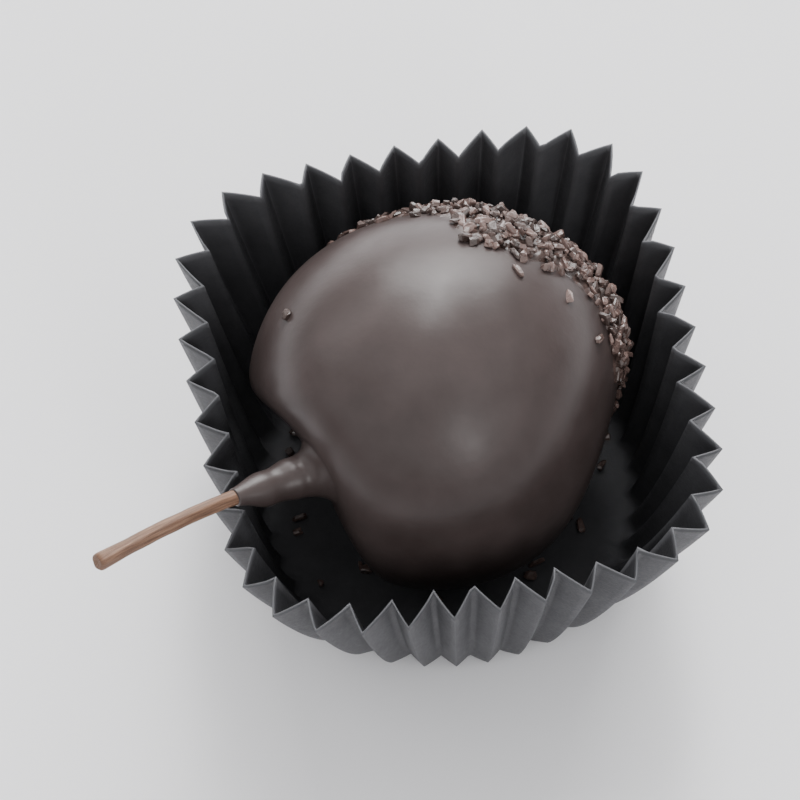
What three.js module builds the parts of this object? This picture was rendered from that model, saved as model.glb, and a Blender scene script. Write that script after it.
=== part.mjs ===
// A stemmed cherry coated in dark chocolate, lying on its side in a pleated paper case.
// Millimetres, +Z up. The origin is the centre of the case's flat underside, +X runs across the
// case, and +Y is its back. The stem leaves the cherry towards -X, a little forward and upward.
//
// paper_case      pleated paper case, pressed from a round base into a rounded square rim
// coated_cherry   whole cherry under dark chocolate, with the collar of chocolate that climbs the stem
// granule_coat    uneven cap of chocolate granules on the side away from the stem
// stem            bare part of the cherry's own stem, seated in the end of the collar

import * as THREE from 'three';

// ---- driving dimensions ----

const paperCase = {
  height: 21.5,
  baseRadius: 15.7, // to the crests of the pleats
  rimHalfX: 20.1,
  rimHalfY: 20.8,
  rimSquareness: 4.2, // exponent of the rim's outline, 2 being a plain ellipse
  rimSteps: 1440, // straight steps that the rim's outline is measured along
  bulge: 0.78, // below 1, the wall swells outward on its way up
  pleats: 40,
  pleatDepthBase: 0.9,
  pleatDepthRim: 2.3,
  paper: 0.6, // thickness along the radius, about 0.4 square to a pleat's side
  floor: 0.45,
  pleatVariation: 0.08, // share by which the pleats differ in depth
  foldRounding: 0.03, // share of a pleat's depth lost at each fold
  valleyRise: 0.45, // inner folds lean less, so they end a little higher
  rimUnevenness: 0.2,
  stemDip: 1.1, // how far the stem has pressed the rim down where it crosses
  stemDipSpread: 22, // degrees in plan
  stepsPerPleat: 4,
  levels: 4,
};

const cherry = {
  centre: new THREE.Vector3(-1.1, 0.45, 16.2),
  radius: 15,
  stemHeading: 25, // degrees from -X towards -Y, in plan
  stemRise: 20, // degrees above the horizon
  smoothRound: { from: 10, to: 30 }, // degrees from the stem, where the unevenness sets in
  segments: 45,
  rings: 25,
};

// The stem leaves a little to one side of the ball's middle, and bends back on its way out.
const stemLine = {
  swing: 1.81, // how much further aside it stands where it leaves the ball
  leaves: 12.65, // distance along the stem's axis, from the cherry's centre
  fade: 8.4, // along which the swing falls to about a third
  offset: -0.45,
};
const footLean = (stemLine.swing + stemLine.offset) / stemLine.leaves;
const footward = new THREE.Vector3(footLean, 0, 1).normalize();

// Hollows in the ball, and one swelling as a hollow of negative depth: depth in millimetres and
// spread in degrees, round an axis in the cherry's own frame.
const hollows = [
  { depth: 0.7, spread: 13, axis: footward }, // stem cavity
  { depth: 1, spread: 34, axis: new THREE.Vector3(0.82, 0.03, -0.57) }, // flattened side
  { depth: -0.7, spread: 38, axis: new THREE.Vector3(0.13, 0.54, -0.83) }, // full shoulder
];

// Hand dipping leaves the ball slightly uneven. Each wave has a height, the radians by which it moves
// on for a unit of direction along X, Y and Z, and a start.
const dippingWaves = [
  { height: 0.2, run: new THREE.Vector3(2.9, 1.3, 0), start: 0.5 },
  { height: 0.14, run: new THREE.Vector3(0, 3.7, -2.1), start: 1.9 },
  { height: 0.1, run: new THREE.Vector3(3.3, 0, 4.9), start: -0.8 },
];

// The stem leaves from a wide notch between two faces, and a third face trims the shoulder above it.
// Each face lies square to its normal, at a distance from the cherry's centre.
const stemEnd = {
  lowerFace: { normal: new THREE.Vector3(-0.23, -0.5, 0.83).normalize(), distance: 10.6 },
  upperFace: { normal: new THREE.Vector3(0.32, -0.656, 0.684).normalize(), distance: 6.9 },
  shoulderFace: { normal: new THREE.Vector3(-0.454, 0.03, 0.891).normalize(), distance: 14.75 },
  notchCrispness: 14, // the higher, the sharper the edges
  shoulderCrispness: 30,
  leastFacing: 0.05, // the cosine to its normal at which a face counts as turned away
};

const collar = {
  footPolar: 11.5, // degrees from the middle of the collar's foot to where the ball runs up into it
  filletRise: 1.2,
  filletBend: 0.1, // how far above its foot the fillet's two straight ends would meet
  filletRings: 3,
  radius: 1.5,
  taperFrom: 17.6, // distances along the stem's axis, from the cherry's centre
  end: 20.3,
  endRadius: 1.05,
  lip: 0.2,
  lipBevel: 0.1,
  droop: 0.3, // how far the chocolate hangs to the stem's underside, before the taper
  endDroop: 0.05,
};

const stem = {
  radius: 0.6,
  tipRadius: 0.72,
  length: 14.65, // from the bottom of its seat to the tip
  seatDepth: 2.6,
  clearance: 0.2,
  sag: 1.2, // how far the tip has bent down from a straight line
  tipSwellSpread: 0.14, // share of the length that the swelling at the tip takes up
  tipRound: 0.5,
  tipRoundAt: 0.7, // share of the tip's radius and of its rounding where the rounding turns inward
  segments: 14,
  rings: 14,
};

const granules = {
  axis: new THREE.Vector3(-0.405, 0.06, -0.912).normalize(), // through the middle of the cap
  reach: 68, // degrees from that axis
  raggedness: 7,
  edgeWaves: [ // shares of the raggedness, the number of waves round the cap, and where they start
    { share: 0.6, count: 3, start: 0.6 },
    { share: 0.4, count: 5, start: 0.2 },
  ],
  edgeDents: [ // where the cap stops short: a turn about its axis, half a width and a depth, in degrees
    { at: 118, halfWidth: 27, depth: 9 },
    { at: 252, halfWidth: 24, depth: 13 },
  ],
  dentCrispness: 6, // the higher, the steeper the sides of a dent
  gap: 0.4, // between the cap and the chocolate
  thickness: 1.05,
  edgeThickness: 0.3,
  edgeThinning: 4, // the higher, the nearer to its edge the cap begins to thin
  relief: 0.3,
  ringStride: 131, // keeps the lumps of one ring unlike those of the next
  rings: 12,
};

const finishes = {
  paper: { color: 0x2e2e32, roughness: 0.7 },
  chocolate: { color: 0x4b3833, roughness: 0.35 },
  granules: { color: 0x4a3532, roughness: 0.5 },
  stem: { color: 0x8a5f45, roughness: 0.75 },
};

// ---- small helpers ----

const { degToRad, radToDeg, lerp, clamp, smoothstep } = THREE.MathUtils;

const stemward = new THREE.Vector3(0, 0, 1); // the way the stem points, in the cherry's frame

const bell = (value, spread) => Math.exp(-((value / spread) ** 2));

// A repeatable number from -1 to 1 for each whole number.
function scatter(index) {
  const turned = Math.sin(index * 12.9898 + 4.1414) * 43758.5453;
  return 2 * (turned - Math.floor(turned)) - 1;
}

// A closed solid made by turning a profile about +Z, then placing each vertex with place().
// place() takes the vertex's turn from 0 to 1 and its index along the profile.
function turnedSolid(profile, segments, place) {
  const geometry = new THREE.LatheGeometry(profile, segments);
  geometry.rotateX(Math.PI / 2);
  const positions = geometry.getAttribute('position');
  const point = new THREE.Vector3();
  for (let segment = 0; segment <= segments; segment++) {
    for (let along = 0; along < profile.length; along++) {
      const index = segment * profile.length + along;
      point.fromBufferAttribute(positions, index);
      place(point, (segment % segments) / segments, along);
      positions.setXYZ(index, point.x, point.y, point.z);
    }
  }
  geometry.computeVertexNormals();
  return geometry;
}

function piece(name, geometry, finish) {
  const mesh = new THREE.Mesh(geometry, new THREE.MeshStandardMaterial({ ...finish, metalness: 0 }));
  mesh.name = name;
  return mesh;
}

// ---- paper case ----

// Points evenly spaced along the rim's outline, so that squeezing the case keeps its pleats equal.
function rimOutline(count) {
  const { rimHalfX, rimHalfY, rimSquareness, rimSteps } = paperCase;
  const power = 2 / rimSquareness;
  const corner = (value) => Math.sign(value) * Math.abs(value) ** power;
  const outline = new THREE.CurvePath();
  let last = new THREE.Vector2(rimHalfX, 0);
  for (let step = 1; step <= rimSteps; step++) {
    const angle = (step / rimSteps) * 2 * Math.PI;
    const next = new THREE.Vector2(
      rimHalfX * corner(Math.cos(angle)),
      rimHalfY * corner(Math.sin(angle)),
    );
    outline.add(new THREE.LineCurve(last, next));
    last = next;
  }
  return Array.from({ length: count }, (_, index) => outline.getPoint(index / count));
}

// How far a point lies between a valley, 0, and a crest, 1, with both folds slightly rounded.
function pleatShare(turn) {
  const { pleats, foldRounding } = paperCase;
  const zigzag = Math.abs(2 * ((turn * pleats) % 1) - 1);
  return clamp((1 + 4 * foldRounding) * zigzag - 2 * foldRounding, foldRounding, 1 - foldRounding);
}

// How much the stem has pressed the rim down at one direction in plan, from 0 to 1.
function stemPress(plan) {
  const away = plan.angle() - (Math.PI + degToRad(cherry.stemHeading));
  return bell(radToDeg(away), paperCase.stemDipSpread);
}

function paperCaseGeometry() {
  const c = paperCase;
  const segments = c.pleats * c.stepsPerPleat;
  const rim = rimOutline(segments);
  const outside = [];
  const inside = [];
  for (let level = 0; level <= c.levels; level++) {
    const share = level / c.levels;
    outside.push({ share, thickness: 0, z: share * c.height });
    inside.unshift({ share, thickness: c.paper, z: lerp(c.floor, c.height, share) });
  }
  const rows = [{ hub: true, share: 0, thickness: 0, z: 0 }, ...outside, ...inside];
  rows.push({ hub: true, share: 0, thickness: 0, z: c.floor });
  const profile = rows.map((row) => new THREE.Vector2(row.hub ? 0 : c.baseRadius - row.thickness, row.z));

  return turnedSolid(profile, segments, (point, turn, along) => {
    const row = rows[along];
    if (row.hub) return;
    const pleat = Math.floor(turn * c.pleats + 0.5) % c.pleats;
    const crest = pleatShare(turn);
    const angle = turn * 2 * Math.PI;
    const onBase = new THREE.Vector2(Math.cos(angle), Math.sin(angle)).multiplyScalar(c.baseRadius);
    const plan = onBase.lerp(rim[Math.round(turn * segments)], row.share ** c.bulge);
    const depth = lerp(c.pleatDepthBase, c.pleatDepthRim, row.share);
    const inset = depth * (1 + c.pleatVariation * scatter(pleat)) * (1 - crest);
    plan.setLength(plan.length() - inset - row.thickness);
    const rise = c.valleyRise * (1 - crest) + c.rimUnevenness * scatter(pleat + c.pleats);
    const dip = c.stemDip * row.share * stemPress(plan);
    point.set(plan.x, plan.y, row.z + row.share * (rise - dip));
  });
}

// ---- chocolate-coated cherry, in a frame with its centre at the origin and the stem along +Z ----

// How far the unevenness of hand dipping lifts the surface in one direction.
function unevenness(direction) {
  const lift = (sum, { height, run, start }) => sum + height * Math.sin(direction.dot(run) + start);
  return dippingWaves.reduce(lift, 0);
}

// The greater of two lengths for a high power, and the lesser for a high negative power, with a
// change-over that is rounder the nearer the power is to zero.
const blend = (a, b, power) => (a ** power + b ** power) ** (1 / power);

// How far off a face is in one direction, and very far where it faces away.
function faceReach({ normal, distance }, direction) {
  return distance / Math.max(direction.dot(normal), stemEnd.leastFacing);
}

// The radius in one direction of a ball with its stem end notched and trimmed.
function trimmedRadius(direction) {
  const { lowerFace, upperFace, shoulderFace, notchCrispness, shoulderCrispness } = stemEnd;
  const notch = blend(faceReach(lowerFace, direction), faceReach(upperFace, direction), notchCrispness);
  const notched = blend(cherry.radius, notch, -notchCrispness);
  return blend(notched, faceReach(shoulderFace, direction), -shoulderCrispness);
}

// How far the ball's surface is from its centre in one direction.
function ballRadius(direction) {
  let radius = trimmedRadius(direction);
  for (const { depth, spread, axis } of hollows) {
    radius -= depth * bell(radToDeg(direction.angleTo(axis)), spread);
  }
  const { from, to } = cherry.smoothRound;
  return radius + smoothstep(radToDeg(direction.angleTo(footward)), from, to) * unevenness(direction);
}

// How far to one side the stem's middle lies at a height along its axis.
function aside(z) {
  const { swing, leaves, fade, offset } = stemLine;
  return offset + swing * Math.exp((leaves - z) / fade);
}

// The direction at an angle from +Z in degrees, and a turn about it from 0 to 1.
function directionAt(polar, turn) {
  const across = Math.sin(degToRad(polar));
  const angle = turn * 2 * Math.PI;
  return new THREE.Vector3(across * Math.sin(angle), -across * Math.cos(angle), Math.cos(degToRad(polar)));
}

// A point of the ball, on rings that lean over so that the first is round the collar's foot.
function ballPoint(polar, turn) {
  const direction = directionAt(polar, turn);
  direction.x += (footLean * (1 + direction.z)) / 2;
  direction.normalize();
  return direction.multiplyScalar(ballRadius(direction));
}

// A ring of the fillet between the ball and the collar, at a share from 0 at its foot to 1.
function filletPoint(share, turn) {
  const foot = ballPoint(collar.footPolar, turn);
  const outward = new THREE.Vector3(foot.x - aside(foot.z), foot.y, 0).setLength(collar.radius);
  const onCollar = (z) => new THREE.Vector3(outward.x + aside(z), outward.y, z);
  const bend = onCollar(foot.z + collar.filletBend);
  return new THREE.QuadraticBezierCurve3(foot, bend, onCollar(foot.z + collar.filletRise)).getPoint(share);
}

function chocolateGeometry() {
  const seatRadius = stem.radius + stem.clearance;
  const placed = new THREE.Vector2(1, 0); // stands for a point that is placed below
  const ballToCollar = cherry.rings + collar.filletRings;
  const profile = [
    new THREE.Vector2(0, 0),
    ...Array.from({ length: ballToCollar }, () => placed),
    new THREE.Vector2(collar.radius, collar.taperFrom),
    new THREE.Vector2(collar.endRadius, collar.end - collar.lip),
    new THREE.Vector2(collar.endRadius - collar.lipBevel, collar.end),
    new THREE.Vector2(seatRadius, collar.end),
    new THREE.Vector2(seatRadius, collar.end - stem.seatDepth),
    new THREE.Vector2(0, collar.end - stem.seatDepth),
  ];
  return turnedSolid(profile, cherry.segments, (point, turn, along) => {
    const pastBall = along - cherry.rings;
    const polar = lerp(180, collar.footPolar, along / cherry.rings);
    if (pastBall <= 0) point.copy(ballPoint(polar, along === 0 ? 0 : turn));
    else if (along <= ballToCollar) point.copy(filletPoint(pastBall / collar.filletRings, turn));
    else point.x += aside(point.z);
    if (along === ballToCollar + 1) point.y -= collar.droop;
    if (along === ballToCollar + 2 || along === ballToCollar + 3) point.y -= collar.endDroop;
  });
}

// ---- cap of granules, in the cherry's frame ----

// How far the cap reaches from its axis, in degrees, at one turn about it.
function granuleReach(turn) {
  const angle = turn * 2 * Math.PI;
  let reach = granules.reach;
  for (const { share, count, start } of granules.edgeWaves) {
    reach += granules.raggedness * share * Math.sin(count * angle + start);
  }
  for (const { at, halfWidth, depth } of granules.edgeDents) {
    reach -= depth * Math.exp(-(((radToDeg(angle) - at) / halfWidth) ** granules.dentCrispness));
  }
  return reach;
}

function granuleCoatGeometry() {
  const g = granules;
  const rows = [];
  for (let ring = 0; ring <= g.rings; ring += 2) rows.push({ share: ring / g.rings, outer: false });
  for (let ring = g.rings; ring >= 0; ring--) rows.push({ share: ring / g.rings, outer: true });
  const profile = rows.map((row) => new THREE.Vector2(row.share === 0 ? 0 : 1, 0)); // placed below
  const toCap = new THREE.Quaternion().setFromUnitVectors(stemward, g.axis);

  return turnedSolid(profile, cherry.segments, (point, turn, along) => {
    const { share, outer } = rows[along];
    const direction = directionAt(share * granuleReach(turn), turn).applyQuaternion(toCap);
    const spot = along * g.ringStride + Math.round(turn * cherry.segments);
    const lump = share === 0 ? 0 : g.relief * scatter(spot);
    const thickness = lerp(g.thickness + lump, g.edgeThickness, share ** g.edgeThinning);
    const height = g.gap + (outer ? thickness : 0);
    point.copy(direction).multiplyScalar(ballRadius(direction) + height);
  });
}

// ---- bare stem, in the cherry's frame ----

function stemGeometry() {
  const s = stem;
  const start = collar.end - s.seatDepth + s.clearance;
  const side = Array.from({ length: s.rings + 1 }, (_, ring) => {
    const share = ring / s.rings;
    const swell = (s.tipRadius - s.radius) * bell(1 - share, s.tipSwellSpread);
    return new THREE.Vector2(s.radius + swell, start + share * s.length);
  });
  const tip = side.at(-1);
  const profile = [
    new THREE.Vector2(0, start),
    ...side,
    new THREE.Vector2(tip.x * s.tipRoundAt, tip.y + s.tipRound * s.tipRoundAt),
    new THREE.Vector2(0, tip.y + s.tipRound),
  ];
  return turnedSolid(profile, s.segments, (point) => {
    const pastCollar = Math.max(0, (point.z - collar.end) / (tip.y - collar.end));
    point.x += aside(point.z);
    point.y -= s.sag * pastCollar ** 2;
  });
}

// ---- assembly ----

const inCase = new THREE.Group();
inCase.position.copy(cherry.centre);
const heading = degToRad(cherry.stemHeading);
const rise = degToRad(cherry.stemRise);
const stemAxis = new THREE.Vector3(
  -Math.cos(heading) * Math.cos(rise),
  -Math.sin(heading) * Math.cos(rise),
  Math.sin(rise),
);
// The frame's +Y is square to the stem and leans upward, so that -Y is the way a stem sags.
const across = new THREE.Vector3(0, 0, 1).cross(stemAxis).normalize();
const upright = stemAxis.clone().cross(across);
inCase.quaternion.setFromRotationMatrix(new THREE.Matrix4().makeBasis(across, upright, stemAxis));
inCase.add(
  piece('coated_cherry', chocolateGeometry(), finishes.chocolate),
  piece('granule_coat', granuleCoatGeometry(), finishes.granules),
  piece('stem', stemGeometry(), finishes.stem),
);

const part = new THREE.Group();
part.add(piece('paper_case', paperCaseGeometry(), finishes.paper), inCase);

export default part;
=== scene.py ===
# A stemmed cherry under dark chocolate, with a cap of chocolate granules, in a pleated black paper case.
import math
import random

import bmesh
import bpy
from mathutils import Euler, Matrix, Vector, noise


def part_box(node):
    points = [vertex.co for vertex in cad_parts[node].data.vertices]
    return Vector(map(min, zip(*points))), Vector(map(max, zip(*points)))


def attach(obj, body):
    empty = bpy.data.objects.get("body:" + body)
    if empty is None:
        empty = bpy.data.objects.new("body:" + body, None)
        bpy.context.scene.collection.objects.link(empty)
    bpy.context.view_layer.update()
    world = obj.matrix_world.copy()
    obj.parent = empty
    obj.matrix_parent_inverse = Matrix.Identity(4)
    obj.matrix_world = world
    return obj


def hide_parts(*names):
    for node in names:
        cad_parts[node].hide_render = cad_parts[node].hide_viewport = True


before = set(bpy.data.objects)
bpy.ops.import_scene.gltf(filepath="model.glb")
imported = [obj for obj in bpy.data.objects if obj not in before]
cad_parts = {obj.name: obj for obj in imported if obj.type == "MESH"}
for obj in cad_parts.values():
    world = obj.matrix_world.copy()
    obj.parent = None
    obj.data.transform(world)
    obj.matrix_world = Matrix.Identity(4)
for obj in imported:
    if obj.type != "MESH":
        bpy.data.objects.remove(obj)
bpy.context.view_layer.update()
mm = 0.001

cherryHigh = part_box("coated_cherry")[1]
caseLow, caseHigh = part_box("paper_case")


# small helpers

weldWithin = 0.0005  # between vertices of turned rows, which stand 1 apart


def mix(a, b, share):
    return a + (b - a) * share


def bell(value, spread):
    return math.exp(-((value / spread) ** 2))


def ease(value, low, high):
    share = min(1, max(0, (value - low) / (high - low)))
    return share * share * (3 - 2 * share)


def blend(a, b, power):
    # the greater length for a high power, the lesser for a high negative one, changing over softly
    return (a ** power + b ** power) ** (1 / power)


def scatter(index):
    # the same number from -1 to 1 each time for one whole number
    turned = math.sin(index * 12.9898 + 4.1414) * 43758.5453
    return 2 * (turned - math.floor(turned)) - 1


def turnedRows(rows, steps, openEnd=False):
    # rows of vertices about +Z, each row's number kept as its height, closed to a point at the ends
    mesh = bmesh.new()
    points = []
    for row in range(rows):
        onAxis = row == 0 or (row == rows - 1 and not openEnd)
        points.append(mesh.verts.new((0 if onAxis else 1, 0, row)))
    edges = [mesh.edges.new(pair) for pair in zip(points, points[1:])]
    bmesh.ops.spin(mesh, geom=points + edges, cent=(0, 0, 0), axis=(0, 0, 1), angle=math.tau, steps=steps,
                   use_merge=True)
    bmesh.ops.remove_doubles(mesh, verts=mesh.verts, dist=weldWithin)
    return mesh


def eachPoint(mesh):
    # every vertex of turned rows, with its row's number and its turn
    for vert in mesh.verts:
        yield vert, round(vert.co.z), math.atan2(vert.co.y, vert.co.x) % math.tau


def addObject(name, data):
    thing = bpy.data.objects.new(name, data)
    bpy.context.scene.collection.objects.link(thing)
    return thing


def addMesh(name, mesh, material):
    data = bpy.data.meshes.new(name)
    mesh.to_mesh(data)
    mesh.free()
    data.materials.append(material)
    return addObject(name, data)


def finishPiece(name, mesh, toMetres, material, replaced=(), smooth=True):
    # the place goes into the mesh, so the object stays at the origin
    bmesh.ops.recalc_face_normals(mesh, faces=mesh.faces)
    mesh.transform(toMetres)
    for face in mesh.faces:
        face.smooth = smooth
    piece = addMesh(name, mesh, material)
    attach(piece, "root")
    if replaced:
        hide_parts(*replaced)
    print(name, len(piece.data.polygons), "faces")
    return piece


# materials: in each look, colours are (mark on the ramp, colour), a noise is (scale, detail, roughness)
# and a bump is (strength, distance)

def startMaterial(name, **shaderValues):
    material = bpy.data.materials.new(name)
    material.use_nodes = True
    shader = material.node_tree.nodes["Principled BSDF"]
    for socket, value in shaderValues.items():
        shader.inputs[socket.replace("_", " ")].default_value = value
    return material, shader


def addNode(material, kind, **values):
    # a value goes to the input of its name, or else to the node's own setting
    node = material.node_tree.nodes.new("ShaderNode" + kind)
    for name, value in values.items():
        socket = node.inputs.get(name.replace("_", " "))
        if socket is not None:
            socket.default_value = value
        else:
            setattr(node, name, value)
    return node


def join(material, output, target):
    material.node_tree.links.new(output, target)


def addNoise(material, place, scale, detail, roughness):
    pattern = addNode(material, "TexNoise", Scale=scale, Detail=detail, Roughness=roughness)
    join(material, place, pattern.inputs["Vector"])
    return pattern.outputs["Fac"]


def addRamp(material, value, colours):
    ramp = addNode(material, "ValToRGB")
    elements = ramp.color_ramp.elements
    while len(elements) < len(colours):
        elements.new(0.5)  # moved to its mark below
    for element, (mark, colour) in zip(elements, colours):
        element.position = mark
        element.color = (*colour, 1)
    join(material, value, ramp.inputs["Fac"])
    return ramp.outputs["Color"]


def addRange(material, value, low, high, fromLow=0.3, fromHigh=0.7):
    # a noise seldom leaves 0.3 to 0.7
    span = addNode(material, "MapRange")
    for socket, number in zip(("From Min", "From Max", "To Min", "To Max"), (fromLow, fromHigh, low, high)):
        span.inputs[socket].default_value = number
    join(material, value, span.inputs["Value"])
    return span.outputs["Result"]


def addBump(material, shader, height, strength, distance, before=None):
    bump = addNode(material, "Bump", Strength=strength, Distance=distance)
    join(material, height, bump.inputs["Height"])
    if before is not None:
        join(material, before, bump.inputs["Normal"])
    join(material, bump.outputs["Normal"], shader.inputs["Normal"])
    return bump.outputs["Normal"]


chocolateLook = {
    "ior": 1.4,
    "colours": [
        (0.28, (0.042, 0.0300, 0.0280)),
        (0.52, (0.056, 0.0415, 0.0395)),
        (0.8, (0.074, 0.0560, 0.0535)),
    ],
    "clouds": (160, 4, 0.55),  # in the colour
    "roughness": (0.31, 0.38),  # from the glossiest patches to the dullest
    "patches": (420, 3, 0.6),
    "swells": (330, 2, 0.5),
    "swellBump": (0.1, 0.0004),
    "grain": (2600, 2, 0.5),
    "grainBump": (0.08, 0.0001),
}


def chocolateMaterial():
    look = chocolateLook
    material, shader = startMaterial("darkChocolate", IOR=look["ior"])
    place = addNode(material, "TexCoord").outputs["Object"]
    clouds = addNoise(material, place, *look["clouds"])
    join(material, addRamp(material, clouds, look["colours"]), shader.inputs["Base Color"])
    patches = addNoise(material, place, *look["patches"])
    join(material, addRange(material, patches, *look["roughness"]), shader.inputs["Roughness"])
    swells = addNoise(material, place, *look["swells"])
    swollen = addBump(material, shader, swells, *look["swellBump"])
    grain = addNoise(material, place, *look["grain"])
    addBump(material, shader, grain, *look["grainBump"], before=swollen)
    return material


granuleLook = {
    "ior": 1.5,
    "coat": 0.35,
    "coatRoughness": 0.18,
    "colours": [
        (0.15, (0.030, 0.0190, 0.0160)),
        (1, (0.180, 0.118, 0.103)),
    ],
    "mottle": (1500, 3, 0.6),
    "mottleShare": 0.5,  # of the ramp, on top of each grain's own tone and the bed's painted shade between lumps
    "roughness": (0.2, 0.42),
    "bump": (0.35, 0.0002),
}


def granuleMaterial():
    look = granuleLook
    material, shader = startMaterial("chocolateGranules", IOR=look["ior"], Coat_Weight=look["coat"],
                                     Coat_Roughness=look["coatRoughness"])
    place = addNode(material, "TexCoord").outputs["Object"]
    # the tone of each grain, and on the bed the painted shade between the lumps
    toneAndShade = addNode(material, "Attribute", attribute_name="toneAndShade").outputs["Fac"]
    mottle = addNoise(material, place, *look["mottle"])
    both = addNode(material, "Math", operation="MULTIPLY_ADD")
    join(material, mottle, both.inputs[0])
    both.inputs[1].default_value = look["mottleShare"]
    join(material, toneAndShade, both.inputs[2])
    join(material, addRamp(material, both.outputs[0], look["colours"]), shader.inputs["Base Color"])
    join(material, addRange(material, mottle, *look["roughness"]), shader.inputs["Roughness"])
    addBump(material, shader, mottle, *look["bump"])
    return material


paperLook = {
    "ior": 1.45,
    "specular": 0.2,
    "colours": [
        (0.3, (0.062, 0.062, 0.067)),
        (0.75, (0.088, 0.088, 0.094)),
    ],
    "clouds": (260, 4, 0.6),
    "worn": (0.122, 0.123, 0.131),  # along the folds and the cut rim
    "wear": (0, 0.7, 0.75, 1),  # least and most of the worn colour, and the fold values where it sets in
    "fibre": (3200, 4, 0.7),
    "roughness": (0.44, 0.62),
    "bump": (0.3, 0.0001),
}


def paperMaterial():
    look = paperLook
    material, shader = startMaterial("blackPaper", IOR=look["ior"], Specular_IOR_Level=look["specular"])
    place = addNode(material, "TexCoord").outputs["Object"]
    fold = addNode(material, "Attribute", attribute_name="fold").outputs["Fac"]
    clouds = addNoise(material, place, *look["clouds"])
    worn = addNode(material, "Mix", data_type="RGBA")
    join(material, addRange(material, fold, *look["wear"]), worn.inputs["Factor"])
    join(material, addRamp(material, clouds, look["colours"]), worn.inputs["A"])
    worn.inputs["B"].default_value = (*look["worn"], 1)
    join(material, worn.outputs["Result"], shader.inputs["Base Color"])
    fibre = addNoise(material, place, *look["fibre"])
    join(material, addRange(material, fibre, *look["roughness"]), shader.inputs["Roughness"])
    addBump(material, shader, fibre, *look["bump"])
    return material


stemLook = {
    "ior": 1.45,
    "colours": [
        (0.3, (0.072, 0.036, 0.022)),
        (0.5, (0.165, 0.085, 0.050)),
        (0.72, (0.32, 0.190, 0.125)),
    ],
    "stretch": (9, 1.1, 1),  # streaks are close together round the stem and long along it
    "streaks": (2.2, 5, 0.65),
    "roughness": (0.4, 0.6),
    "bump": (0.5, 0.0002),
}


def stemMaterial():
    look = stemLook
    material, shader = startMaterial("driedStem", IOR=look["ior"])
    along = addNode(material, "UVMap", uv_map="along").outputs["UV"]
    stretched = addNode(material, "Mapping", Scale=look["stretch"])
    join(material, along, stretched.inputs["Vector"])
    streaks = addNoise(material, stretched.outputs["Vector"], *look["streaks"])
    join(material, addRamp(material, streaks, look["colours"]), shader.inputs["Base Color"])
    join(material, addRange(material, streaks, *look["roughness"]), shader.inputs["Roughness"])
    addBump(material, shader, streaks, *look["bump"])
    return material


# the cherry's own frame: its centre at the origin, its stem along +Z, in millimetres

stemward = Vector((0, 0, 1))
cherry = {
    "radius": 14.93,
    "toBox": Vector((15.348, 14.875, 15.126)),  # from its centre to the far corner of the frame's box
    "stemHeading": 25,  # degrees from -X towards -Y
    "stemRise": 20,
    "rings": 170,
    "segments": 200,
    "smoothRound": (10, 30),  # degrees from the stem, where the unevenness sets in
    "ripple": 0.05,
    "rippleSize": 5.5,
}
stemLine = {  # the stem leaves a little to one side of the ball's middle, and bends back
    "swing": 1.81,
    "leaves": 12.65,
    "fade": 8.4,
    "offset": -0.45,
}
footLean = (stemLine["swing"] + stemLine["offset"]) / stemLine["leaves"]
footward = Vector((footLean, 0, 1)).normalized()
hollows = [  # depth, spread in degrees, axis
    (0.7, 13, footward),  # stem cavity
    (1.0, 34, Vector((0.82, 0.03, -0.57))),  # flattened side
    (-0.7, 38, Vector((0.13, 0.54, -0.83))),  # full shoulder
]
dippingWaves = [  # hand dipping leaves the ball uneven: height, run along each axis, start
    (0.2, Vector((2.9, 1.3, 0)), 0.5),
    (0.14, Vector((0, 3.7, -2.1)), 1.9),
    (0.1, Vector((3.3, 0, 4.9)), -0.8),
]
stemEnd = {  # a notch between two faces, and a third that trims the shoulder: normal, distance
    "lowerFace": (Vector((-0.23, -0.5, 0.83)).normalized(), 10.6),
    "upperFace": (Vector((0.32, -0.656, 0.684)).normalized(), 6.9),
    "shoulderFace": (Vector((-0.454, 0.03, 0.891)).normalized(), 14.75),
    "notchCrispness": 14,
    "shoulderCrispness": 30,
    "leastFacing": 0.05,  # the cosine to its normal at which a face counts as turned away
}


def cherryPlace():
    heading = math.radians(cherry["stemHeading"])
    rise = math.radians(cherry["stemRise"])
    centre = cherryHigh - cherry["toBox"] * mm
    axis = Vector((
        -math.cos(heading) * math.cos(rise),
        -math.sin(heading) * math.cos(rise),
        math.sin(rise),
    ))
    across = Vector((0, 0, 1)).cross(axis).normalized()
    turned = Matrix((across, axis.cross(across), axis)).transposed().to_4x4()
    return Matrix.Translation(centre) @ turned @ Matrix.Scale(mm, 4)


toPlace = cherryPlace()
intoCherry = toPlace.inverted() @ Matrix.Scale(mm, 4)  # for what is placed in the case's frame


def unevenness(way):
    return sum(height * math.sin(run.dot(way) + start) for height, run, start in dippingWaves)


def faceReach(face, way):
    # how far off a face is in one direction, and very far where it faces away
    normal, distance = face
    return distance / max(way.dot(normal), stemEnd["leastFacing"])


def surfaceRadius(way):
    # how far the chocolate's surface lies from the centre in one direction
    s = stemEnd
    notch = blend(faceReach(s["lowerFace"], way), faceReach(s["upperFace"], way), s["notchCrispness"])
    radius = blend(cherry["radius"], notch, -s["notchCrispness"])
    radius = blend(radius, faceReach(s["shoulderFace"], way), -s["shoulderCrispness"])
    for depth, spread, axis in hollows:
        radius -= depth * bell(math.degrees(way.angle(axis)), spread)
    uneven = ease(math.degrees(way.angle(footward)), *cherry["smoothRound"])
    ripple = noise.noise(way * (cherry["radius"] / cherry["rippleSize"]))
    return radius + uneven * (unevenness(way) + cherry["ripple"] * ripple)


def aside(height):
    # how far to one side the stem's middle lies at a height along its axis
    line = stemLine
    return line["offset"] + line["swing"] * math.exp((line["leaves"] - height) / line["fade"])


def directionAt(polar, turn):
    # the direction at an angle from +Z and a turn about it, in radians
    across = math.sin(polar)
    return Vector((across * math.sin(turn), -across * math.cos(turn), math.cos(polar)))


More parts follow.
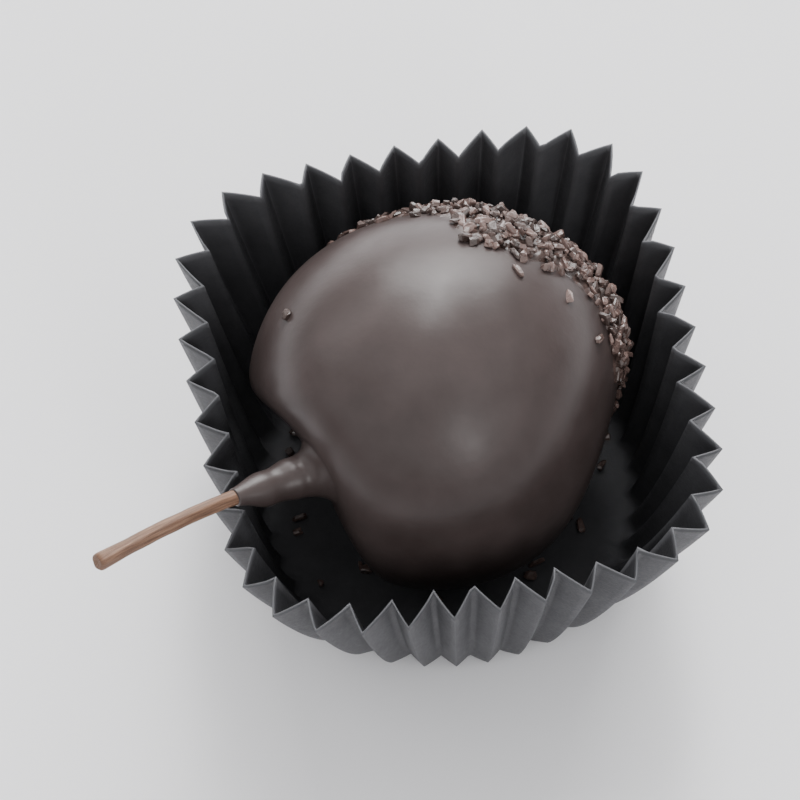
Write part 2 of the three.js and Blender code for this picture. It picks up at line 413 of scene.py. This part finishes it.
def ballPoint(polar, turn):
    # on rings that lean over, so that the first is round the collar's foot
    way = directionAt(polar, turn)
    way.x += footLean * (1 + way.z) / 2
    way.normalize()
    return way * surfaceRadius(way)


# chocolate: the ball, and the collar that climbs the stem

collar = {  # heights run along the stem's axis from the cherry's centre
    "footPolar": math.radians(12.5),
    "filletRows": 14,
    "filletBend": 0.25,  # share of the fillet's rise at which its two straight ends would meet
    "shaftRows": 34,
    "shaftFrom": 14.9,
    "taperFrom": 17.3,
    "taperTo": 20.35,
    "end": 20.3,
    "radius": 1.46,
    "endRadius": 0.74,
    "knuckle": (0.22, 15, 0.9),  # gathered chocolate at the foot: height, place, spread
    "waist": (-0.07, 16.6, 0.8),
    "droop": (0.3, 17.4, 1.6),  # to the stem's underside
    "lipRows": 6,
    "lip": 0.12,
    "grip": 0.02,  # how far it laps into the stem
    "seat": 18,
}


def swelling(height, shape):
    rise, at, spread = shape
    return rise * bell(height - at, spread)


def collarStations():
    # (height along the stem's axis, radius, droop to its underside), from the fillet to the seat
    c = collar
    stations = []
    shaftTo = c["end"] - c["lip"]
    for step in range(c["shaftRows"]):
        height = mix(c["shaftFrom"], shaftTo, step / (c["shaftRows"] - 1))
        radius = mix(c["radius"], c["endRadius"], ease(height, c["taperFrom"], c["taperTo"]))
        radius += swelling(height, c["knuckle"]) + swelling(height, c["waist"])
        stations.append((height, radius, swelling(height, c["droop"])))
    grip = stem["radius"] - c["grip"]
    lastRadius, lastDroop = stations[-1][1:]
    for step in range(1, c["lipRows"] + 1):
        angle = step / c["lipRows"] * math.pi / 2
        height = shaftTo + c["lip"] * math.sin(angle)
        stations.append((height, mix(grip, lastRadius, math.cos(angle)), lastDroop * math.cos(angle)))
    return stations + [(c["seat"], grip, 0), (c["seat"], 0, 0)]


def filletPoint(share, turn, shaftRadius):
    # between the ball, at share 0, and the collar's foot, at share 1
    c = collar
    foot = ballPoint(c["footPolar"], turn)
    out = Vector((foot.x - aside(foot.z), foot.y, 0)).normalized() * shaftRadius
    bend = out + Vector((aside(foot.z), 0, mix(foot.z, c["shaftFrom"], c["filletBend"])))
    top = out + Vector((aside(c["shaftFrom"]), 0, c["shaftFrom"]))
    return foot.lerp(bend, share).lerp(bend.lerp(top, share), share)


def buildChocolate():
    c = collar
    ballRows = cherry["rings"]
    stations = collarStations()
    shaftRadius = stations[0][1]
    mesh = turnedRows(ballRows + c["filletRows"] + len(stations) + 1, cherry["segments"])
    for vert, row, turn in eachPoint(mesh):
        pastBall = row - ballRows
        pastFillet = pastBall - c["filletRows"]
        if pastBall <= 0:
            vert.co = ballPoint(mix(math.pi, c["footPolar"], row / ballRows), turn)
        elif pastFillet <= 0:
            vert.co = filletPoint(pastBall / (c["filletRows"] + 1), turn, shaftRadius)
        else:
            height, radius, droop = stations[pastFillet - 1]
            vert.co = (radius * math.sin(turn) + aside(height), -radius * math.cos(turn) - droop, height)
    return finishPiece("chocolateShell", mesh, toPlace, chocolate, ["coated_cherry"])


# stem

stem = {
    "radius": 0.6,
    "tipRadius": 0.72,
    "tipSpread": 0.11,  # share of the length that the swelling at the tip takes up
    "start": 18.1,
    "end": 32.9,
    "cutDepth": 0.3,
    "cut": [(0.12, 0.93), (0, 0.76), (0.1, 0.4), (0.14, 0)],  # depth below the end, share of the radius
    "rows": 90,
    "segments": 32,
    "sag": 1.2,
    "bow": 0.1,  # to one side
    "bowWave": 2.6,  # radians from the collar to the tip
    "ridges": [(0.045, 5, 0.25, 0), (0.0315, 3, -0.4, 1)],  # height, number, twist along the stem, start
    "ridgesSetIn": 1.5,  # length beyond the collar
    "lumps": 0.06,
    "lumpScale": (1.3, 0.65),  # round the stem and along it
    "streakUnit": 10,  # length of stem to one unit of the streaks' pattern
}


def stemStations():
    # (height, radius) from the seat to the slightly dished cut at the tip
    s = stem
    stations = [(s["start"], 0)]
    for step in range(s["rows"]):
        share = step / (s["rows"] - 1)
        swell = (s["tipRadius"] - s["radius"]) * bell(1 - share, s["tipSpread"])
        stations.append((mix(s["start"], s["end"] - s["cutDepth"], share), s["radius"] + swell))
    edge = stations[-1][1]
    return stations + [(s["end"] - depth, edge * share) for depth, share in s["cut"]]


def stemGirth(height, turn):
    # by how much the ridges and lumps thicken or thin the stem at one place
    s = stem
    ridged = ease(height, collar["end"], collar["end"] + s["ridgesSetIn"])
    ridge = sum(rise * math.sin(number * turn + twist * height + start)
                for rise, number, twist, start in s["ridges"])
    across, along = s["lumpScale"]
    lump = noise.noise(Vector((across * math.cos(turn), across * math.sin(turn), along * height)))
    return 1 + ridged * ridge + s["lumps"] * lump


def unwrapStem(mesh, stations):
    # turns round the stem, and its length
    layer = mesh.loops.layers.uv.new("along")
    for face in mesh.faces:
        middle = face.calc_center_median()
        base = math.atan2(middle.y, middle.x) / math.tau
        for loop in face.loops:
            turn = math.atan2(loop.vert.co.y, loop.vert.co.x) / math.tau
            height = stations[round(loop.vert.co.z)][0]
            loop[layer].uv = (turn + round(base - turn), height / stem["streakUnit"])


def buildStem():
    s = stem
    stations = stemStations()
    mesh = turnedRows(len(stations), s["segments"])
    unwrapStem(mesh, stations)
    for vert, row, turn in eachPoint(mesh):
        height, radius = stations[row]
        radius *= stemGirth(height, turn)
        past = max(0, (height - collar["end"]) / (s["end"] - collar["end"]))
        bow = s["bow"] * math.sin(s["bowWave"] * past) * past
        sag = s["sag"] * past ** 2
        vert.co = (radius * math.sin(turn) + aside(height) + bow, -radius * math.cos(turn) - sag, height)
    return finishPiece("fruitStem", mesh, toPlace, driedStem, ["stem"])


# granules: an uneven bed, painted darker between its lumps as shade, with the loose grains on it

cap = {  # where they lie
    "axis": Vector((-0.405, 0.06, -0.912)).normalized(),  # through the middle of the cap
    "reach": 68,  # degrees from that axis
    "raggedness": 7,
    "edgeWaves": [(0.6, 3, 0.6), (0.4, 5, 0.2)],  # share of the raggedness, number round the cap, start
    "edgeDents": [(118, 27, 9), (252, 24, 13)],  # turn, half width and depth, in degrees
    "dentCrispness": 6,  # the higher, the steeper the sides of a dent
}
toCap = stemward.rotation_difference(cap["axis"]).to_matrix()


def granuleReach(turn):
    # how far from its axis the cap ends, in degrees
    reach = cap["reach"]
    for share, number, start in cap["edgeWaves"]:
        reach += cap["raggedness"] * share * math.sin(number * turn + start)
    for at, halfWidth, depth in cap["edgeDents"]:
        away = (math.degrees(turn) - at) / halfWidth
        reach -= depth * math.exp(-(away ** cap["dentCrispness"]))
    return reach


def onCap(degrees, turn):
    # the direction so far from the cap's axis, at a turn about it
    return toCap @ directionAt(math.radians(degrees), turn)


bed = {
    "rows": 120,
    "underRows": 30,
    "segments": 220,
    "underside": -0.4,  # sunk into the chocolate
    "height": 0.5,
    "betweenLumps": 0.35,  # share of the height
    "thinsFrom": 0.86,  # share of the cap's reach
    "edgeHeight": -0.12,
    "fray": 3,  # degrees by which the edge wanders
    "frayScale": 9,
    "lumpScale": 17,
    "lumpFall": 1.5,  # the higher, the narrower the lumps
    "grit": 0.3,
    "gritScale": 60,
    # the bed's colour in the gaps between lumps, painted dark as shade
    "toneAndShade": 0.04,
    "shadeBetweenLumps": 0.22,  # added on the lumps, so the gaps between them are painted darker as shade
}


def bedLump(way):
    # packed granules, with finer grit; the same value paints the bed's shade between lumps
    nearest = noise.voronoi(way * bed["lumpScale"])[0][0]
    return max(0, 1 - bed["lumpFall"] * nearest) + bed["grit"] * noise.noise(way * bed["gritScale"])


def buildGranuleBed():
    b = bed
    rows = [(step / b["underRows"], False) for step in range(b["underRows"] + 1)]
    rows += [(1 - step / b["rows"], True) for step in range(b["rows"] + 1)]
    mesh = turnedRows(len(rows), b["segments"])
    toneAndShade = mesh.verts.layers.float.new("toneAndShade")
    for vert, row, turn in eachPoint(mesh):
        share, outer = rows[row]
        fray = b["fray"] * noise.noise(Vector((math.cos(turn), math.sin(turn), 0)) * b["frayScale"])
        way = onCap(share * (granuleReach(turn) + fray), turn)
        lump = bedLump(way)
        cover = 1 - ease(share, b["thinsFrom"], 1)
        height = cover * b["height"] * (b["betweenLumps"] + lump) + (1 - cover) * b["edgeHeight"]
        vert.co = way * (surfaceRadius(way) + (height if outer else b["underside"]))
        # painted shade: the bed is coloured darker between the lumps and paler on their tops
        vert[toneAndShade] = b["toneAndShade"] + b["shadeBetweenLumps"] * lump
    return finishPiece("granuleBed", mesh, toPlace, chocolateGranules, ["granule_coat"])


crumb = {
    "styles": [  # up to which draw from 0 to 1, then least and most length, width and thickness
        (0.3, ((1.4, 2.0), (0.6, 0.8), (0.55, 0.75))),  # short rod
        (0.5, ((1.1, 1.5), (0.8, 1.1), (0.4, 0.55))),  # flake
        (1, ((0.8, 1.25), (0.75, 1.05), (0.65, 0.9))),  # lump
    ],
    "bevel": (0.14, 0.26),
    "dentSeed": 14,
    "dents": 0.26,
    "dentScale": 1.4,
    "dentShift": 9,  # so that no two kinds are dented alike
    "curl": 0.12,
}


def either(chance, most):
    # a draw from -most to most
    return chance.uniform(-most, most)


def grainKind(chance):
    # one crumb: a bevelled block, knocked out of shape
    c = crumb
    block = bmesh.new()
    bmesh.ops.create_cube(block, size=1)
    bmesh.ops.bevel(block, geom=block.edges[:], offset=chance.uniform(*c["bevel"]), segments=1, profile=0.5,
                    affect="EDGES", material=-1)
    draw = chance.random()
    style = next(ranges for upTo, ranges in c["styles"] if draw < upTo)
    size = [chance.uniform(*limits) for limits in style]
    shift = Vector([either(chance, c["dentShift"]) for _ in range(3)])
    for vert in block.verts:
        vert.co += c["dents"] * noise.noise_vector(vert.co * c["dentScale"] + shift)
        vert.co = [side * stretch for side, stretch in zip(vert.co, size)]
        vert.co.z -= c["curl"] * vert.co.x ** 2
    bmesh.ops.recalc_face_normals(block, faces=block.faces)
    data = bpy.data.meshes.new("grainKind")
    block.to_mesh(data)
    block.free()
    return data


grains = {
    "seed": 7,
    "kinds": 16,
    "count": 2500,  # less those that fall past the edge
    "size": (0.42, 0.78),
    "tilt": 0.9,
    "height": (0.35, 0.95),  # above the chocolate, in the thick of the cap
    "edgeHeight": 0.22,
    "thinsOver": 12,  # degrees
    "shortfall": (0.5, 5),  # degrees short of the cap's edge that they end
    "jitterOut": 0.02,
    "jitterRound": 0.05,
    "darkness": 1.6,  # the higher, the fewer pale grains
    "strays": 18,
    "strayBand": 7,  # degrees past the edge
    "strayHeight": 0.16,
    "straySize": (0.45, 0.9),
    "strayTilt": 0.25,
    "inCase": 30,  # crumbs that have dropped onto the floor of the case
    "inCaseFrom": 8.5,
    "inCaseBand": 5,
    "inCaseHeight": 0.62,
    "inCaseSize": (0.5, 0.85),
    "inCaseTilt": 0.2,
    "loneSpots": [  # direction, spread, number and largest size of crumbs that lie away from the cap
        (Vector((-0.294, 0.9415, -0.1635)), 0.02, 4, 0.9),
        (Vector((-0.596, 0.476, 0.647)), 0.03, 2, 0.8),
    ],
    "loneSize": (0.65, 1),  # shares of the largest
    "loneHeight": 0.3,  # share of the crumb's size
    "loneTilt": 0.3,
    "lonePalest": 0.3,
}


def tumbled(chance, tilt):
    # any turn about +Z, and a lean of up to tilt
    lean = Euler((either(chance, tilt), either(chance, tilt), chance.uniform(0, math.tau)))
    return lean.to_matrix().to_4x4()


def grainOnBall(way, height, size, chance, tilt):
    # lies along the surface
    lay = way.to_track_quat("Z", "Y").to_matrix().to_4x4()
    spot = way * (surfaceRadius(way) + height)
    return Matrix.Translation(spot) @ lay @ tumbled(chance, tilt) @ Matrix.Scale(size, 4)


def capGrains(kinds, chance):
    # evenly along a spiral from the middle of the cap, up to a ragged edge
    g = grains
    goldenAngle = math.pi * (3 - math.sqrt(5))
    widest = math.radians(cap["reach"] + cap["raggedness"])
    for index in range(g["count"]):
        share = (index + 0.5) / g["count"]
        polar = math.acos(1 - share * (1 - math.cos(widest))) + either(chance, g["jitterOut"])
        turn = (index * goldenAngle + either(chance, g["jitterRound"])) % math.tau
        fromEdge = granuleReach(turn) - chance.uniform(*g["shortfall"]) - math.degrees(polar)
        if fromEdge < 0:
            continue
        height = mix(g["edgeHeight"], chance.uniform(*g["height"]), ease(fromEdge, 0, g["thinsOver"]))
        way = onCap(math.degrees(polar), turn)
        place = grainOnBall(way, height, chance.uniform(*g["size"]), chance, g["tilt"])
        yield chance.choice(kinds), place, chance.random() ** g["darkness"]


def strayGrains(kinds, chance):
    g = grains
    for _ in range(g["strays"]):
        turn = chance.uniform(0, math.tau)
        way = onCap(granuleReach(turn) + g["strayBand"] * chance.random() ** 2, turn)
        place = grainOnBall(way, g["strayHeight"], chance.uniform(*g["straySize"]), chance, g["strayTilt"])
        yield chance.choice(kinds), place, chance.random()


def caseCrumbs(kinds, chance):
    g = grains
    for _ in range(g["inCase"]):
        angle = chance.uniform(0, math.tau)
        out = g["inCaseFrom"] + g["inCaseBand"] * chance.random()
        spot = Matrix.Translation((out * math.cos(angle), out * math.sin(angle), g["inCaseHeight"]))
        place = spot @ tumbled(chance, g["inCaseTilt"]) @ Matrix.Scale(chance.uniform(*g["inCaseSize"]), 4)
        yield chance.choice(kinds), intoCherry @ place, chance.random()


def loneCrumbs(kinds, chance):
    g = grains
    roundest = min(kinds, key=lambda kind: max(vert.co.length for vert in kind.vertices))
    for way, spread, number, largest in g["loneSpots"]:
        for _ in range(number):
            near = (way + spread * Vector([chance.gauss(0, 1) for _ in range(3)])).normalized()
            size = largest * chance.uniform(*g["loneSize"])
            place = grainOnBall(near, g["loneHeight"] * size, size, chance, g["loneTilt"])
            yield roundest, place, g["lonePalest"] * chance.random()


def addGrain(mesh, toneAndShade, kind, place, shade):
    before = len(mesh.verts)
    mesh.from_mesh(kind)
    mesh.verts.ensure_lookup_table()
    added = mesh.verts[before:]
    bmesh.ops.transform(mesh, matrix=place, verts=added)
    for vert in added:
        vert[toneAndShade] = shade


def buildGrains():
    noise.seed_set(crumb["dentSeed"])  # without it the crumbs are dented differently on every run
    chance = random.Random(grains["seed"])
    kinds = [grainKind(chance) for _ in range(grains["kinds"])]
    mesh = bmesh.new()
    toneAndShade = mesh.verts.layers.float.new("toneAndShade")
    for scattered in (capGrains, strayGrains, caseCrumbs, loneCrumbs):
        for kind, place, shade in scattered(kinds, chance):
            addGrain(mesh, toneAndShade, kind, place, shade)
    return finishPiece("looseGranules", mesh, toPlace, chocolateGranules, smooth=False)


# paper case

case = {
    "baseRadius": 15.7,
    "squareness": 4.2,
    "bulge": 0.78,
    "insideBox": 0.01,  # how far the rim keeps inside the frame's box
    "topFold": 0.6,  # how far the highest fold stands above the outer folds' mean height
    "rimSteps": 2880,  # straight steps that the rim's outline is measured along
    "pleats": 40,
    "stepsPerPleat": 10,
    "wallRows": 26,
    "floorRows": (0.55, 0.8, 0.93),  # shares of the base's radius
    "floorFold": 0.6,  # share of the base's pleats that runs into the floor
    "floorFoldFrom": 0.7,  # share of the base's radius
    "depthBase": 0.9,
    "depthRim": 2.3,
    "depthVariation": 0.08,
    "valleyRise": 0.45,
    "rimUnevenness": 0.2,
    "dip": 1.1,
    "dipSpread": 22,
    "thickness": 0.13,
    "dome": 0.3,
    "wornFold": 0.85,  # share of the way to an outer fold where wear begins
    "wornRim": 0.97,  # share of the height where it begins
}
rimHalf = (caseHigh - caseLow) / 2 / mm - Vector((case["insideBox"], case["insideBox"], 0))
caseHeight = caseHigh.z / mm - case["topFold"]


def rimOutline(count):
    # evenly spaced points on the rounded square that the rim has been pressed into
    power = 2 / case["squareness"]
    fine = []
    for step in range(case["rimSteps"] + 1):
        angle = step / case["rimSteps"] * math.tau
        cosine, sine = math.cos(angle), math.sin(angle)
        fine.append(Vector((rimHalf.x * math.copysign(abs(cosine) ** power, cosine),
                            rimHalf.y * math.copysign(abs(sine) ** power, sine))))
    lengths = [0]
    for here, there in zip(fine, fine[1:]):
        lengths.append(lengths[-1] + (there - here).length)
    outline = []
    at = 0
    for index in range(count):
        wanted = index / count * lengths[-1]
        while lengths[at + 1] < wanted:
            at += 1
        share = (wanted - lengths[at]) / (lengths[at + 1] - lengths[at])
        outline.append(fine[at].lerp(fine[at + 1], share))
    return outline


def floorPoint(share, turn, crest):
    c = case
    inset = c["floorFold"] * c["depthBase"] * (1 - crest) * ease(share, c["floorFoldFrom"], 1)
    out = c["baseRadius"] * share - inset
    return Vector((out * math.cos(turn), out * math.sin(turn), c["dome"] * (1 - share ** 2)))


def wallPoint(share, turn, rimPoint, pleat, crest):
    c = case
    onBase = Vector((math.cos(turn), math.sin(turn))) * c["baseRadius"]
    plan = onBase.lerp(rimPoint, share ** c["bulge"])
    depth = mix(c["depthBase"], c["depthRim"], share) * (1 + c["depthVariation"] * scatter(pleat))
    plan.length -= depth * (1 - crest)
    stemWay = math.pi + math.radians(cherry["stemHeading"])
    away = math.degrees(math.atan2(plan.y, plan.x) % math.tau - stemWay)
    dip = c["dip"] * share * bell(away, c["dipSpread"])  # where the stem crosses
    rise = c["valleyRise"] * (1 - crest) + c["rimUnevenness"] * scatter(pleat + c["pleats"])
    return Vector((plan.x, plan.y, share * (caseHeight + rise) - dip))


def buildCase():
    c = case
    count = c["pleats"] * c["stepsPerPleat"]
    rim = rimOutline(count)
    rows = [("floor", 0)] + [("floor", share) for share in c["floorRows"]]
    rows += [("wall", row / c["wallRows"]) for row in range(c["wallRows"] + 1)]
    mesh = turnedRows(len(rows), count, openEnd=True)
    fold = mesh.verts.layers.float.new("fold")
    for vert, row, turn in eachPoint(mesh):
        part, share = rows[row]
        index = round(turn / math.tau * count) % count
        pleat = math.floor(index / c["stepsPerPleat"] + 0.5) % c["pleats"]
        crest = abs(2 * (index / c["stepsPerPleat"] % 1) - 1)
        if part == "floor":
            vert.co = floorPoint(share, turn, crest)
        else:
            vert.co = wallPoint(share, turn, rim[index], pleat, crest)
            vert[fold] = max(crest if crest > c["wornFold"] else 0, ease(share, c["wornRim"], 1))
    piece = finishPiece("pleatedCase", mesh, Matrix.Scale(mm, 4), blackPaper, ["paper_case"])
    wall = piece.modifiers.new("thickness", "SOLIDIFY")
    wall.thickness = c["thickness"] * mm
    wall.offset = -1
    wall.use_even_offset = True
    return piece


# studio, in metres: an azimuth counts in degrees from the back towards +X

studio = {
    "floorSize": 3,
    "floorSquares": 4,  # along each side
    "floorColour": (0.93, 0.925, 0.945, 1),
    "floorRoughness": 0.6,
    "airColour": (0.96, 0.97, 1, 1),
    "airStrength": 0.22,
    "lit": Vector((0, 0, 0.015)),  # where the lights point
    "softboxes": [  # name, azimuth, elevation, distance, size, brightness of the lit face
        ("backSoftbox", 17, 26, 0.9, (0.8, 0.5), 8.5),
        ("sideGlow", -45, 30, 0.9, (0.6, 0.5), 0.8),
        ("highSoftbox", 15, 48, 0.95, (0.18, 0.7), 14),
        ("overheadSoftbox", 180, 85, 1.3, (6, 6), 0.93),
        ("frontWindow", 161, 35, 1.1, (0.16, 0.4), 9.5),
    ],
}
view = {
    "azimuth": 191.8,
    "elevation": 64.2,
    "distance": 0.42,
    "aim": Vector((0.0031, 0.0019, 0.0116)),
    "lens": 236,  # this and the sensor in millimetres
    "sensor": 36,
    "shift": -0.1,  # of the picture's width
    "nearest": 0.01,
}


def aimAt(target, thing, azimuth, elevation, distance):
    # stands off from the target and faces it
    turn, rise = math.radians(azimuth), math.radians(elevation)
    way = Vector((math.sin(turn) * math.cos(rise), math.cos(turn) * math.cos(rise), math.sin(rise)))
    thing.location = target + way * distance
    thing.rotation_euler = way.to_track_quat("Z", "Y").to_euler()


def buildFloor():
    s = studio
    squares = s["floorSquares"]
    mesh = bmesh.new()
    bmesh.ops.create_grid(mesh, x_segments=squares, y_segments=squares, size=s["floorSize"] / 2)
    material = startMaterial("paleFloor", Base_Color=s["floorColour"], Roughness=s["floorRoughness"])[0]
    addMesh("floor", mesh, material)


def fillAir():
    world = bpy.data.worlds.new("studioAir")
    bpy.context.scene.world = world
    world.use_nodes = True
    air = world.node_tree.nodes["Background"]
    air.inputs["Color"].default_value = studio["airColour"]
    air.inputs["Strength"].default_value = studio["airStrength"]


def addSoftbox(name, azimuth, elevation, distance, size, brightness):
    light = bpy.data.lights.new(name, "AREA")
    light.shape = "RECTANGLE"
    light.size, light.size_y = size
    light.energy = brightness * math.pi * size[0] * size[1]
    aimAt(studio["lit"], addObject(name, light), azimuth, elevation, distance)


def addCamera():
    v = view
    camera = addObject("camera", bpy.data.cameras.new("camera"))
    aimAt(v["aim"], camera, v["azimuth"], v["elevation"], v["distance"])
    camera.data.lens = v["lens"]
    camera.data.sensor_width = v["sensor"]
    camera.data.shift_x = v["shift"]
    camera.data.clip_start = v["nearest"]
    bpy.context.scene.camera = camera


chocolate = chocolateMaterial()
chocolateGranules = granuleMaterial()
blackPaper = paperMaterial()
driedStem = stemMaterial()
print("materials made")

buildChocolate()
buildStem()
buildGranuleBed()
buildGrains()
buildCase()

buildFloor()
fillAir()
for softbox in studio["softboxes"]:
    addSoftbox(*softbox)
addCamera()
print("studio made")
